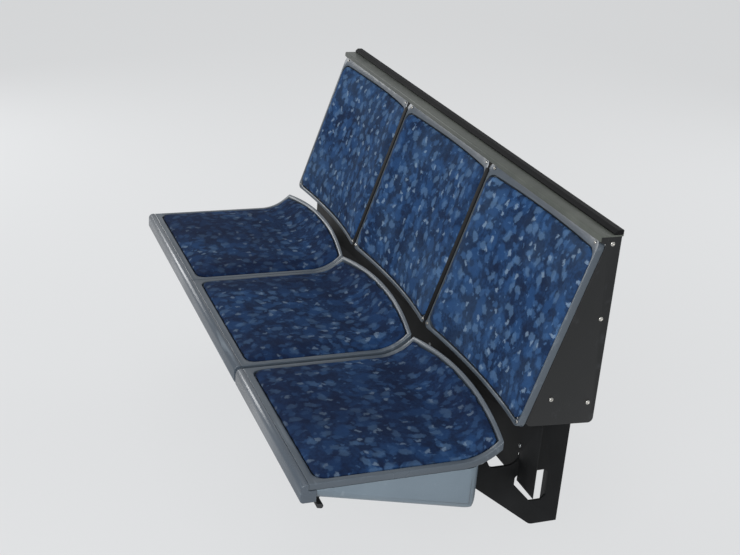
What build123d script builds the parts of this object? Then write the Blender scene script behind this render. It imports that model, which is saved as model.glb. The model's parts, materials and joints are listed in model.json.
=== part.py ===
from build123d import *
from math import asin, atan, cos, degrees, hypot, radians, sin
import os

# A three-place bench for the side of a city bus, facing the aisle and bolted to the
# side wall.  Its seats fold up in two units, a double one and a single one.
# X runs along the bench, the wall is the plane y = 0, the aisle is towards -Y, Z is up.
# s is a distance out from the wall and h is a height above the floor.

# Places and units
place_pitch = 450.0
place_gap = 2.0
unit_gap = 12.0
floor_to_bolts = 526.0
outer_arm_inset = 79.0
inner_arm_inset = 75.0

# Seat
seat_height = 450.0
seat_front_s = 553.0
seat_rear_s = 182.0
rise_run = 78.0
rise_radius = 100.0
rise_slope = 40.0
seat_border = 12.0
seat_front_border = 15.0
seat_rear_border = 7.0

# Back
back_foot_behind = 22.0
back_foot_above = 58.0
back_top_room = 20.0
back_length = 382.0
back_side_clear = 3.0
back_side_border = 8.0
back_top_border = 24.0
back_foot_border = 8.0
back_corner = 20.0
back_foot_corner = 14.0

# Shells and pads
shell_thick = 14.0
dish_depth = 22.0
recess_depth = 8.0
pad_proud = 4.0
pad_clear = 0.4
pad_corner = 22.0

# Nose along the front of each unit
nose_depth = 15.0
nose_height = 38.0
nose_wall = 4.0
nose_return = 26.0
nose_end = 6.0

# Pivot, seat channels and tubes
pivot_ahead = 16.0
pivot_below = 28.0
shaft_radius = 11.0
running_clear = 0.1
snug_clear = 0.05
eye_wall = 6.5
hub_clear = 3.0
channel_width = 44.0
channel_wall = 4.0
channel_drop = 70.0
channel_setback = 10.0
channel_heel = 28.0
front_tube_depth = 24.0
tube_wall = 2.5
rear_tube = 25.0
rear_tube_ahead = 52.0
rear_tube_below = 32.0
shaft_end = 8.0

# Underside cover
cover_wall = 4.0
cover_drop = 17.0
cover_rear_clear = 1.5
cover_end_clear = 1.0
cover_corner = 26.0
cover_heel = 34.0
cover_end_corner = 30.0
cover_notch_clear = 6.0

# Wall brackets
bracket_plate = 6.0
flange_thick = 8.0
flange_width = 59.0
flange_foot_h = 236.0
bolt_low_h = 262.0
bolt_high_h = 790.0
bolt_hole_radius = 5.5
bolt_offset = 30.0
bay_s = 101.0
bay_high_h = 500.0
bay_round = 24.0
edge_foot_u = 20.0
swing_clear = 5.0
stop_plate = 4.0
stop_width = 26.0
stop_height = 30.0
stop_lip = 2.0
stop_clear = 0.3
stop_pad_thick = 8.0

# Back tube, back rail, closing pan, ledge and wall strip
back_tube = 25.0
back_tube_u = 38.0
support_clear = 3.0
foot_size = 20.0
foot_x = 150.0
back_rail_thick = 9.0
back_rail_below_top = 92.0
back_rail_height = 40.0
rib_x = 75.0
rib_thick = 3.0
rib_depth = 8.0
pan_thick = 1.5
pan_low_h = 345.0
pan_slot_clear = 1.0
ledge_thick = 3.0
ledge_clear = 2.7
ledge_overhang = 4.0
ledge_lip = 11.0
strip_depth = 10.0
strip_height = 9.0
strip_round = 6.0
end_cap_thick = 4.0
end_cap_inset = 3.0

# Release levers
lever_from_end = 62.0
lever_s = 512.0
lever_plate = (74.0, 34.0, 3.0)
lever_stem = (14.0, 10.0, 20.0)
lever_bar = (58.0, 13.0, 9.0)
lever_bar_round = 4.0

# Worked out from the sizes above
place_half = place_pitch / 2 - place_gap / 2
bench_half = 1.5 * place_pitch
back_foot_s = seat_rear_s - back_foot_behind
back_foot_h = seat_height + back_foot_above
back_top_s = dish_depth + back_top_room
back_lean = degrees(asin((back_foot_s - back_top_s) / back_length))
pivot_s = seat_rear_s + pivot_ahead
pivot_h = seat_height - pivot_below
eye_radius = shaft_radius + eye_wall
hub_length = channel_width - 2 * (channel_wall + hub_clear)
channel_rear_s = pivot_s + channel_setback
channel_rear_h = pivot_h - channel_drop
rear_tube_s = pivot_s + rear_tube_ahead
rear_tube_h = pivot_h - rear_tube_below
cover_rear_s = pivot_s + eye_radius + cover_rear_clear
cover_low_h = channel_rear_h - cover_drop
stop_low_h = channel_rear_h + stop_lip
stop_high_h = stop_low_h + stop_height
shell_under_h = seat_height - shell_thick
bend_s = seat_rear_s + rise_run
dish_radius = (place_half**2 + dish_depth**2) / (2 * dish_depth)
unit_seam_x = place_pitch / 2
nose_low_h = seat_height - nose_height
tube_front_s = seat_front_s + nose_depth - nose_wall
tube_low_h = nose_low_h + nose_wall
cap_inner_x = bench_half - end_cap_inset - end_cap_thick
nose_rear_s = tube_front_s - nose_return
cover_slope = (nose_low_h - cover_low_h) / (nose_rear_s - cover_rear_s)
bay_low_h = pivot_h - (pivot_s - seat_rear_s) - dish_depth - swing_clear
support_v = -dish_depth - shell_thick - support_clear
rail_back_v = support_v - back_rail_thick
back_rail_u = back_length - back_rail_below_top
ledge_h = back_foot_h + back_length * cos(radians(back_lean)) + ledge_clear
ledge_depth = back_top_s + ledge_overhang

# name, centre x
places = [("far", -place_pitch), ("middle", 0.0), ("near", place_pitch)]

# name, first place, last place, low x, high x
units = [
    ("double", 0, 1, -bench_half, unit_seam_x - unit_gap / 2),
    ("single", 2, 2, unit_seam_x + unit_gap / 2, bench_half),
]

outer_arm_x = bench_half - outer_arm_inset

# name, x of the plate, side on which its wall flange lies, unit it carries
brackets = [
    ("far", -outer_arm_x, 1, "double"),
    ("mid_far", unit_seam_x - inner_arm_inset, 1, "double"),
    ("mid_near", unit_seam_x + inner_arm_inset, -1, "single"),
    ("near", outer_arm_x, -1, "single"),
]

# s and h of the corners of the two windows in a bracket plate
windows = [
    [(42, 290), (66, 290), (106, 334), (106, 350), (96, 360), (42, 360), (32, 350), (32, 300)],
    [(36, 560), (78, 560), (84, 566), (64, 628), (56, 634), (36, 634), (30, 628), (30, 566)],
]

os.makedirs("parts", exist_ok=True)
parts = {}


def side_point(s, h):
    """Y and Z of a point s out from the wall and h above the floor."""
    return (-s, h - floor_to_bolts)


def side_face(points, radii=0):
    """A flat face in the YZ plane from (s, h) corners, each with its own radius."""
    corners = [side_point(s, h) for s, h in points]
    if radii:
        outline = FilletPolyline(*corners, radius=radii, close=True)
    else:
        outline = Polyline(*corners, close=True)
    return Plane.YZ * make_face(outline)


def side_prism(points, x_low, x_high, radii=0):
    """The side outline run along X between two places."""
    return Pos(x_low, 0, 0) * extrude(side_face(points, radii), amount=x_high - x_low)


def rod(radius, s, h, x_low, x_high):
    """A round bar along X."""
    y, z = side_point(s, h)
    disc = Plane.YZ * (Pos(y, z) * Circle(radius))
    return Pos(x_low, 0, 0) * extrude(disc, amount=x_high - x_low)


def back_point(u, v):
    """s and h of a point u up the back's slope and v in front of its face."""
    lean = radians(back_lean)
    s = back_foot_s - u * sin(lean) + v * cos(lean)
    h = back_foot_h + u * cos(lean) + v * sin(lean)
    return (s, h)


def back_plane(x):
    """The back's own frame at x: across, up the slope, out of the face."""
    y, z = side_point(back_foot_s, back_foot_h)
    lean = radians(back_lean)
    return Plane(origin=(x, y, z), x_dir=(1, 0, 0), z_dir=(0, -cos(lean), sin(lean)))


def back_band(low, high):
    """What lies between two copies of the back's dished face, in its own frame."""
    wide = place_half + 1
    edge = (wide / place_half) ** 2 * dish_depth - dish_depth
    front = ThreePointArc((-wide, edge + high), (0, -dish_depth + high), (wide, edge + high))
    rear = ThreePointArc((wide, edge + low), (0, -dish_depth + low), (-wide, edge + low))
    ends = [Line(front @ 1, rear @ 0), Line(rear @ 1, front @ 0)]
    face = Plane.XZ * make_face([front, ends[0], rear, ends[1]])
    return Pos(0, -1, 0) * extrude(face, amount=back_length + 2, dir=(0, 1, 0))


def back_outline(side, foot, top, top_corner, foot_corner):
    """A back's rounded outline, drawn in by a border on each edge, as a tall block."""
    half = place_half - side
    low, high = foot, back_length - top
    corners = [(-half, low), (half, low), (half, high), (-half, high)]
    radii = [foot_corner, foot_corner, top_corner, top_corner]
    face = make_face(FilletPolyline(*corners, radius=radii, close=True))
    return Pos(0, 0, -60) * extrude(face, amount=120)


def dish_at(x):
    """How far the dished face lies behind its rim at x across a place."""
    return dish_depth * (1 - (x / place_half) ** 2)


def shell_root(x):
    """A level just inside the rear skin of a back's shell, at x across a place."""
    return 1 - dish_at(x) - shell_thick


def make_back_shell():
    """A back's moulded shell: rim, recess for the pad, rear feet and ribs."""
    body = back_outline(back_side_clear, 0, 0, back_corner, back_foot_corner)
    body &= back_band(-shell_thick, 0)
    pocket = back_outline(back_side_border, back_foot_border, back_top_border,
                          pad_corner, pad_corner)
    body -= pocket & back_band(-recess_depth, 40)
    for u in (back_tube_u + back_tube / 2, back_rail_u + back_rail_height / 2):
        for x in (-foot_x, foot_x):
            height = shell_root(x) - support_v
            body += Pos(x, u, support_v + height / 2) * Box(foot_size, foot_size, height)
    rib_low = back_tube_u + back_tube + 12
    rib_high = back_rail_u - 12
    for x in (-rib_x, rib_x):
        middle = shell_root(x) - (rib_depth + 1) / 2
        rib = Box(rib_thick, rib_high - rib_low, rib_depth + 1)
        body += Pos(x, (rib_low + rib_high) / 2, middle) * rib
    return body


def make_back_pad():
    """A back's upholstered pad, set in the shell's recess."""
    block = back_outline(back_side_border + pad_clear, back_foot_border + pad_clear,
                         back_top_border + pad_clear, pad_corner, pad_corner)
    return block & back_band(pad_clear - recess_depth, pad_proud)


def seat_band(low, high):
    """What lies between two levels of the seat's surface: flat, a bend, a straight rise."""
    centre_h = seat_height + rise_radius
    slope = radians(rise_slope)

    def level(offset):
        radius = rise_radius - offset
        start = side_point(bend_s, seat_height + offset)
        middle = side_point(bend_s - radius * sin(slope / 2), centre_h - radius * cos(slope / 2))
        end = side_point(bend_s - radius * sin(slope), centre_h - radius * cos(slope))
        flat = Line(side_point(seat_front_s + 60, seat_height + offset), start)
        rise = Line(end, (end[0] + 70 * cos(slope), end[1] + 70 * sin(slope)))
        return [flat, ThreePointArc(start, middle, end), rise]

    lower, upper = level(low), level(high)
    ends = [Line(lower[0] @ 0, upper[0] @ 0), Line(lower[2] @ 1, upper[2] @ 1)]
    face = Plane.YZ * make_face(lower + upper + ends)
    return Pos(-place_half - 1, 0, 0) * extrude(face, amount=2 * place_half + 2)


def seat_outline(low, high, side, front, rear, corner):
    """A seat's outline in plan from its own low to high, drawn in by a border on each
    side, as a tall block; its rear edge bows like the back's dish."""
    y_front, y_rear = -(seat_front_s - front), -(seat_rear_s - 2 * dish_depth)
    corners = [(low + side, y_front), (high - side, y_front), (high - side, y_rear),
               (low + side, y_rear)]
    face = make_face(FilletPolyline(*corners, radius=[corner, corner, 0, 0], close=True))
    bow = Circle(dish_radius - rear)
    face &= Pos(0, -(seat_rear_s - dish_depth + dish_radius)) * bow
    base = seat_height - floor_to_bolts - 40
    return Pos(0, 0, base) * extrude(face, amount=140)


def make_seat_shell(low, high):
    """A seat's moulded shell: flat, then rising at the rear, with the pad's recess."""
    body = seat_outline(low, high, 0, 0, 0, 0) & seat_band(-shell_thick, 0)
    pocket = seat_outline(low, high, seat_border, seat_front_border, seat_rear_border,
                          pad_corner)
    body -= pocket & seat_band(-recess_depth, 30)
    return body


def make_seat_pad(low, high):
    """A seat's upholstered pad, bent like the shell that it lies in."""
    block = seat_outline(low, high, seat_border + pad_clear, seat_front_border + pad_clear,
                         seat_rear_border + pad_clear, pad_corner)
    return block & seat_band(pad_clear - recess_depth, pad_proud)


def make_nose(x_low, x_high):
    """The hollow bullnose along the front of a unit, closed at both ends."""
    out_s = seat_front_s + nose_depth
    in_s = out_s - nose_wall
    outer = [(seat_front_s, seat_height), (out_s, seat_height), (out_s, nose_low_h),
             (nose_rear_s, nose_low_h), (nose_rear_s, tube_low_h), (in_s, tube_low_h),
             (in_s, seat_height - nose_wall), (seat_front_s, seat_height - nose_wall)]
    radii = [0, 11, 7, 0, 0, 0, 0, 0]
    body = side_prism(outer, x_low, x_high, radii)
    end = [(seat_front_s, seat_height), (out_s, seat_height), (out_s, nose_low_h),
           (nose_rear_s, nose_low_h), (nose_rear_s, shell_under_h),
           (seat_front_s, shell_under_h)]
    for x in (x_low, x_high - nose_end):
        body += side_prism(end, x, x + nose_end, [0, 11, 7, 0, 0, 0])
    return body


def make_front_tube(x_low, x_high):
    """The rectangular tube behind the nose that the seat channels end on."""
    s_low, s_high = tube_front_s - front_tube_depth, tube_front_s - snug_clear
    outer = [(s_low, tube_low_h), (s_high, tube_low_h), (s_high, shell_under_h),
             (s_low, shell_under_h)]
    w = tube_wall
    inner = [(s_low + w, tube_low_h + w), (s_high - w, tube_low_h + w),
             (s_high - w, shell_under_h - w), (s_low + w, shell_under_h - w)]
    return side_prism(outer, x_low, x_high) - side_prism(inner, x_low, x_high)


def rear_tube_block(size, x_low, x_high):
    """A square bar of the rear tube's place, from low to high x."""
    low_s, low_h = rear_tube_s - size / 2, rear_tube_h - size / 2
    corners = [(low_s, low_h), (low_s + size, low_h), (low_s + size, low_h + size),
               (low_s, low_h + size)]
    return side_prism(corners, x_low, x_high)


def make_channel(x):
    """A seat channel: two webs with pivot eyes, a top flange and a stop plate."""
    end_s = tube_front_s - front_tube_depth
    web = [(end_s, shell_under_h), (end_s, tube_low_h + 2),
           (channel_rear_s + channel_heel, channel_rear_h), (channel_rear_s, channel_rear_h),
           (channel_rear_s, pivot_h - 22), (pivot_s - 14, pivot_h - 10),
           (pivot_s, shell_under_h)]
    half = channel_width / 2
    body = None
    for low in (x - half, x + half - channel_wall):
        side = side_prism(web, low, low + channel_wall, [0, 0, 12, 0, 0, 0, 0])
        side += rod(eye_radius, pivot_s, pivot_h, low, low + channel_wall)
        body = side if body is None else body + side
    flange_s = channel_rear_s + 20
    flange = [(flange_s, shell_under_h), (end_s, shell_under_h),
              (end_s, shell_under_h - channel_wall), (flange_s, shell_under_h - channel_wall)]
    body += side_prism(flange, x - half, x + half)
    stop = [(channel_rear_s, channel_rear_h), (channel_rear_s + stop_plate, channel_rear_h),
            (channel_rear_s + stop_plate, stop_high_h), (channel_rear_s, stop_high_h)]
    body += side_prism(stop, x - half, x + half)
    body -= rod(shaft_radius + running_clear, pivot_s, pivot_h, x - half - 1, x + half + 1)
    return body - rear_tube_block(rear_tube + 2 * snug_clear, x - half - 1, x + half + 1)


def cover_skin(s, inset=0.0):
    """Height of the cover's sloping underside at s, or of its inner face."""
    return cover_low_h + (s - cover_rear_s) * cover_slope + inset * hypot(1, cover_slope)


def cover_block(x_low, x_high, inset, front_s, top_h):
    """The cover's outer form, or its hollow: what three blocks have in common, one
    rounded at the heel, one along the lower end edges and one at the rear corners."""
    x_low, x_high = x_low + inset, x_high - inset
    rear_s = cover_rear_s + inset
    outline = [(front_s, top_h), (front_s, cover_skin(front_s, inset)),
               (rear_s, cover_skin(rear_s, inset)), (rear_s, top_h)]
    side = side_prism(outline, x_low, x_high, [0, 0, cover_heel - inset, 0])

    slope = atan(cover_slope)
    origin = (0, *side_point(rear_s, cover_skin(rear_s, inset)))
    along = Plane(origin=origin, x_dir=(1, 0, 0), z_dir=(0, -cos(slope), sin(slope)))
    section = [(x_low, 0), (x_high, 0), (x_high, 180), (x_low, 180)]
    round_low = cover_corner - inset
    outline = FilletPolyline(*section, radius=[round_low, round_low, 0, 0], close=True)
    ends = along * extrude(make_face(outline), amount=420, both=True)

    round_rear = cover_end_corner - inset
    plan = [(x_low, -rear_s), (x_low, -front_s - 1), (x_high, -front_s - 1), (x_high, -rear_s)]
    outline = FilletPolyline(*plan, radius=[round_rear, 0, 0, round_rear], close=True)
    rear = extrude(make_face(outline), amount=400, both=True)
    return side & ends & rear


def make_cover(x_low, x_high, channel_xs):
    """The moulded cover under a unit: an open tray, deeper at the rear, with rounded
    ends and a notch in its rear wall for each seat channel."""
    x_low, x_high = x_low + cover_end_clear, x_high - cover_end_clear
    body = cover_block(x_low, x_high, 0, nose_rear_s, shell_under_h)
    body -= cover_block(x_low, x_high, cover_wall, nose_rear_s + 20, shell_under_h + 5)
    low, high = cover_rear_s - 5, cover_rear_s + cover_heel
    half = channel_width / 2 + cover_notch_clear
    foot = channel_rear_h - cover_notch_clear
    notch = [(low, foot), (high, foot), (high, shell_under_h + 5), (low, shell_under_h + 5)]
    for x in channel_xs:
        body -= side_prism(notch, x - half, x + half)
    return body


def make_lever(x_high):
    """A release lever under the front of a unit: base plate, stem and grip bar."""
    slope = degrees(atan(cover_slope))
    y, z = side_point(lever_s, cover_skin(lever_s))
    base = Pos(0, 0, -lever_plate[2] / 2) * Box(*lever_plate)
    foot = -lever_plate[2] - lever_stem[2]
    stem = Pos(0, 0, foot + lever_stem[2] / 2) * Box(*lever_stem)
    width, depth, height = lever_bar
    corners = [(-depth / 2, -height), (depth / 2, -height), (depth / 2, 0), (-depth / 2, 0)]
    profile = FilletPolyline(*corners, radius=lever_bar_round, close=True)
    bar = Pos(-width / 2, 0, foot) * extrude(Plane.YZ * make_face(profile), amount=width)
    return Pos(x_high - lever_from_end, y, z) * Rot(-slope, 0, 0) * (base + stem + bar)


def make_bracket(x, side):
    """A wall bracket: bolted flange, plate, pivot arm with its hub, and stop seat."""
    stop_front_s = channel_rear_s - stop_clear - stop_pad_thick
    stop_back_s = stop_front_s - stop_plate
    root_s = flange_thick / 2
    edge_low = back_point(edge_foot_u, rail_back_v)
    edge_high = back_point(back_rail_u + back_rail_height + 8, rail_back_v)
    plate = [
        (root_s, flange_foot_h), (60, flange_foot_h), (stop_back_s, stop_low_h - 10),
        (stop_back_s, pivot_h), (pivot_s - 14, pivot_h), (pivot_s - 36, bay_low_h),
        (bay_s, bay_low_h), (bay_s, bay_high_h), edge_low, edge_high, (root_s, edge_high[1]),
    ]
    radii = [0, 20, 0, 0, 0, 12, bay_round, 0, 0, 0, 0]
    half = bracket_plate / 2
    body = side_prism(plate, x - half, x + half, radii)
    for window in windows:
        body -= side_prism(window, x - half - 1, x + half + 1)
    flange_low = x - half if side > 0 else x + half - flange_width
    flange = [(0, flange_foot_h), (flange_thick, flange_foot_h), (flange_thick, ledge_h),
              (0, ledge_h)]
    body += side_prism(flange, flange_low, flange_low + flange_width)
    body += rod(eye_radius, pivot_s, pivot_h, x - hub_length / 2, x + hub_length / 2)
    seat = [(stop_back_s, stop_low_h - 4), (stop_front_s, stop_low_h - 4),
            (stop_front_s, stop_high_h + 4), (stop_back_s, stop_high_h + 4)]
    body += side_prism(seat, x - stop_width / 2, x + stop_width / 2)
    body -= rod(shaft_radius + snug_clear, pivot_s, pivot_h, x - hub_length, x + hub_length)
    body -= back_plane(x) * tube_block(hub_length)
    for h in (bolt_low_h, bolt_high_h):
        z = h - floor_to_bolts
        hole = Plane.XZ * (Pos(x + side * bolt_offset, z) * Circle(bolt_hole_radius))
        body -= extrude(hole, amount=flange_thick * 3, both=True)
    return body


def tube_block(half_length):
    """The outer block of the lower back tube, in the back's own frame."""
    middle = (back_tube_u + back_tube / 2, support_v - back_tube / 2)
    return Pos(0, *middle) * Box(2 * half_length, back_tube, back_tube)


def make_back_tube():
    """The lower square tube that the backs are screwed to."""
    hollow = Box(2 * cap_inner_x + 2, back_tube - 2 * tube_wall, back_tube - 2 * tube_wall)
    middle = Pos(0, back_tube_u + back_tube / 2, support_v - back_tube / 2)
    return back_plane(0) * (tube_block(cap_inner_x) - middle * hollow)


def make_back_rail():
    """The shallow upper channel that the backs hang on, open towards the wall."""
    middle = Pos(0, back_rail_u + back_rail_height / 2, support_v - back_rail_thick / 2)
    rail = middle * Box(2 * cap_inner_x, back_rail_height, back_rail_thick)
    groove = Box(2 * cap_inner_x + 2, back_rail_height - 6, back_rail_thick)
    return back_plane(0) * (rail - middle * Pos(0, 0, -3) * groove)


def make_pan():
    """The sheet that closes the space behind the gap between the seats and the backs,
    slotted from below for the arms."""
    rear_v = rail_back_v + snug_clear
    front_v = rear_v + pan_thick
    rear_s = bay_s + snug_clear
    front_s = rear_s + pan_thick
    top_u = back_tube_u - snug_clear
    outline = [(rear_s, pan_low_h), (front_s, pan_low_h), (front_s, bay_high_h),
               back_point(edge_foot_u, front_v), back_point(top_u, front_v),
               back_point(top_u, rear_v), back_point(edge_foot_u, rear_v), (rear_s, bay_high_h)]
    body = side_prism(outline, snug_clear - cap_inner_x, cap_inner_x - snug_clear)
    slot_top_h = bay_low_h + bay_round
    slot = [(rear_s - 1, pan_low_h - 1), (front_s + 1, pan_low_h - 1), (front_s + 1, slot_top_h),
            (rear_s - 1, slot_top_h)]
    half = bracket_plate / 2 + pan_slot_clear
    for _name, x, _side, _unit in brackets:
        body -= side_prism(slot, x - half, x + half)
    return body


def make_end_cap(x_low):
    """The plate that closes the wedge between the end back and the wall."""
    front = -shell_thick - dish_at(cap_inner_x - place_pitch) - snug_clear
    top = back_point(back_length - 4, front)
    outline = [back_point(6, front), top, (top[0], ledge_h), (0.5, ledge_h),
               (0.5, back_foot_h - 8)]
    return side_prism(outline, x_low, x_low + end_cap_thick, [10, 0, 0, 0, 10])


def make_ledge():
    """The ledge from the tops of the backs to the wall, with a folded front lip."""
    top = ledge_h + ledge_thick
    outline = [(0, ledge_h), (ledge_depth - ledge_thick, ledge_h),
               (ledge_depth - ledge_thick, top - ledge_lip), (ledge_depth, top - ledge_lip),
               (ledge_depth, top), (0, top)]
    return side_prism(outline, -bench_half, bench_half, [0, 0, 0, 0, 3, 0])


def make_strip():
    """The soft strip that seals the ledge against the wall."""
    low = ledge_h + ledge_thick
    outline = [(0, low), (strip_depth, low), (strip_depth, low + strip_height),
               (0, low + strip_height)]
    return side_prism(outline, -bench_half, bench_half, [0, 1, strip_round, 0])


def make_stop_pad(x):
    """The rubber pad on an arm that a seat channel rests against."""
    front = channel_rear_s - stop_clear
    outline = [(front - stop_pad_thick, stop_low_h), (front, stop_low_h),
               (front, stop_high_h - 2), (front - stop_pad_thick, stop_high_h - 2)]
    half = stop_width / 2 - 1
    return side_prism(outline, x - half, x + half)


def build_fixed():
    """Everything that stays on the wall."""
    for name, x, side, _unit in brackets:
        parts["wall_bracket_" + name] = make_bracket(x, side)
    parts["stop_pads"] = Compound(children=[make_stop_pad(b[1]) for b in brackets])
    parts["back_tube_lower"] = make_back_tube()
    parts["back_rail_upper"] = make_back_rail()
    shell, pad = make_back_shell(), make_back_pad()
    for name, x in places:
        parts["back_shell_" + name] = back_plane(x) * shell
        parts["back_pad_" + name] = back_plane(x) * pad
    parts["closing_pan"] = make_pan()
    parts["end_cap_far"] = make_end_cap(-cap_inner_x - end_cap_thick)
    parts["end_cap_near"] = make_end_cap(cap_inner_x)
    parts["top_ledge"] = make_ledge()
    parts["wall_strip"] = make_strip()


def build_unit(name, first, last, x_low, x_high):
    """One fold-up unit, with the shaft that it turns on."""
    arm_xs = [x for _name, x, _side, unit in brackets if unit == name]
    half = channel_width / 2
    reach = half + shaft_end
    parts["pivot_shaft_" + name] = rod(shaft_radius, pivot_s, pivot_h,
                                       arm_xs[0] - reach, arm_xs[-1] + reach)
    parts["seat_channels_" + name] = Compound(children=[make_channel(x) for x in arm_xs])
    inset = nose_end + snug_clear
    parts["front_tube_" + name] = make_front_tube(x_low + inset, x_high - inset)
    tube_low, tube_high = arm_xs[0] - half, arm_xs[-1] + half
    tube = rear_tube_block(rear_tube, tube_low, tube_high)
    tube -= rear_tube_block(rear_tube - 2 * tube_wall, tube_low, tube_high)
    parts["rear_tube_" + name] = tube
    for place, x in places[first:last + 1]:
        low, high = max(-place_half, x_low - x), min(place_half, x_high - x)
        parts["seat_shell_" + place] = Pos(x, 0, 0) * make_seat_shell(low, high)
        parts["seat_pad_" + place] = Pos(x, 0, 0) * make_seat_pad(low, high)
    parts["seat_nose_" + name] = make_nose(x_low, x_high)
    parts["under_cover_" + name] = make_cover(x_low, x_high, arm_xs)
    parts["release_lever_" + name] = make_lever(x_high)


build_fixed()
for unit in units:
    build_unit(*unit)

for node, shape in parts.items():
    export_step(shape, f"parts/{node}.step")
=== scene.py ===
# The looks of a fold-up bus bench: three moulded seats and backs with moquette pads,
# on a black steel frame that bolts to the side wall.  Sizes are metres in the bench's
# own frame: X along the bench, the wall at y = 0, the aisle towards -Y, Z up.
# s is a distance out from the wall and h is a height above the floor, in millimetres.
import json
from math import cos, pi, radians, sin

import bmesh
import bpy
import numpy as np
from mathutils import Matrix, Vector
from mathutils.bvhtree import BVHTree
from mathutils.noise import noise as unevenness


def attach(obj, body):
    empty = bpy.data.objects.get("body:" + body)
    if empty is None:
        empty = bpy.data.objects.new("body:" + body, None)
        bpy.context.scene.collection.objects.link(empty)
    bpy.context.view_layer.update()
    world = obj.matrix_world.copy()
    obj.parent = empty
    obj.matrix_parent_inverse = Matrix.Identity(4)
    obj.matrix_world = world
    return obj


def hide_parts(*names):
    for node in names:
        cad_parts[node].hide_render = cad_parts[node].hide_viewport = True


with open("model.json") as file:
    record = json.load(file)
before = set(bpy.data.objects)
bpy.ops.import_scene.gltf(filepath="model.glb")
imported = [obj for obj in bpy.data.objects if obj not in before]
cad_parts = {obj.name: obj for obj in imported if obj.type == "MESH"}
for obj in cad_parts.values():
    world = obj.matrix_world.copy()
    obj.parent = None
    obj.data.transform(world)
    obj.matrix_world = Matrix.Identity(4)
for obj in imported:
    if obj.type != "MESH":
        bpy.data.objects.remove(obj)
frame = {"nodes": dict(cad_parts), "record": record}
nodes = frame["nodes"]
body_of = {node: body for body, members in frame["record"]["behaviour"]["bodies"].items()
           for node in members}
slot_of = {part["node"]: part["material_slot"] for part in frame["record"]["subparts"]}
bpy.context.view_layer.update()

mm = 0.001
floor_z = -526 * mm

# Seat surface: flat, then a bend and a straight rise
bend_y = -260 * mm
rise_radius = 100 * mm
rise_slope = radians(40)

# Back surface: the middle of its foot and the slope that it lies on
back_foot = Vector((0, -160, -18)) * mm
back_lean = radians(18)
back_up = Vector((0, sin(back_lean), cos(back_lean)))
back_out = Vector((0, -cos(back_lean), sin(back_lean)))
place_half = 224 * mm
place_centres = {"far": -450 * mm, "middle": 0.0, "near": 450 * mm}

# Bracket plates: x, side of the plate on which its wall flange lies
brackets = [(-596, 1), (150, 1), (300, -1), (596, -1)]

# Pads.  Their voxels stand askew to the edges, so that a slightly rising edge shows no
# steps.  The facing is how far the skin has to look outwards before it swells at all, and
# the range is how much further it looks where it swells in full.
pad_voxel = 5.2 * mm
pad_turn = Matrix.Rotation(radians(35), 4, "X") @ Matrix.Rotation(radians(45), 4, "Z")
pad_shrink = 0.5 * mm
pad_evening = 12
pad_rolling = 11
pad_facing = 0.15
pad_facing_range = 0.5
pad_lift = 5 * mm
pad_frames = 20
pad_pressure = 4.0
wrinkle_size = 48 * mm
wrinkle_height = 0.6 * mm


def point(x, s, h):
    """A place in metres from x, s and h in millimetres."""
    return Vector((x, -s, h)) * mm + Vector((0, 0, floor_z))


def linear(hex_colour):
    """An sRGB hex colour as linear red, green and blue, with an alpha of 1."""
    channels = [int(hex_colour[i:i + 2], 16) / 255 for i in (1, 3, 5)]
    light = [c / 12.92 if c <= 0.04045 else ((c + 0.055) / 1.055) ** 2.4 for c in channels]
    return (*light, 1.0)


def put(tree, kind, inputs, **settings):
    """Adds a shader node with its settings and its inputs' values or links.  A node
    given as an input stands for its first live output."""
    node = tree.nodes.new("ShaderNode" + kind)
    for name, value in settings.items():
        setattr(node, name, value)
    for name, value in inputs.items():
        if isinstance(value, bpy.types.Node):
            value = next(socket for socket in value.outputs if socket.enabled)
        if isinstance(value, bpy.types.NodeSocket):
            tree.links.new(value, node.inputs[name])
        else:
            node.inputs[name].default_value = value
    return node


# Materials

def start_material(name, base, roughness, metallic=0.0, **shader):
    """A named material: its nodes, its shader and its Object coordinates."""
    material = bpy.data.materials.new(name)
    material.use_nodes = True
    tree = material.node_tree
    tree.nodes.clear()
    surface = put(tree, "BsdfPrincipled",
                  {"Base Color": linear(base), "Roughness": roughness, "Metallic": metallic,
                   **{socket.replace("_", " "): value for socket, value in shader.items()}})
    put(tree, "OutputMaterial", {"Surface": surface})
    place = put(tree, "TexCoord", {}).outputs["Object"]
    return material, tree, surface, place


def finish_material(tree, surface, colour, roughness, height, depth):
    """Links a material's colour, its roughness and the bump of its grain."""
    relief = put(tree, "Bump", {"Height": height, "Distance": depth, "Strength": 1.0})
    for socket, node in (("Base Color", colour), ("Roughness", roughness), ("Normal", relief)):
        output = next(o for o in node.outputs if o.enabled)
        tree.links.new(output, surface.inputs[socket])


def patches(tree, place, size, low, high, amount=1.0, stretch=(1, 1, 1), detail=5.0):
    """Soft-edged patches about size across, from 0 outside them to amount inside."""
    scale = [share / size for share in stretch]
    moved = put(tree, "Mapping", {"Vector": place, "Scale": scale})
    cloud = put(tree, "TexNoise", {"Vector": moved, "Scale": 1.0, "Detail": detail})
    return put(tree, "MapRange", {"Value": cloud, "From Min": low, "From Max": high,
                                  "To Min": 0.0, "To Max": amount})


def rubbed_edges(tree, place, width, amount):
    """Where an edge is rubbed bare: a band about width wide, broken into patches."""
    rounded = put(tree, "Bevel", {"Radius": width}, samples=4)
    flat = put(tree, "NewGeometry", {}).outputs["Normal"]
    turn = put(tree, "VectorMath", {0: rounded, 1: flat}, operation="DOT_PRODUCT")
    edge = put(tree, "MapRange", {"Value": turn, "From Min": 0.985, "From Max": 0.82,
                                  "To Min": 0.0, "To Max": amount})
    return put(tree, "Math", {0: edge, 1: patches(tree, place, 14 * mm, 0.42, 0.62)},
               operation="MULTIPLY")


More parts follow.
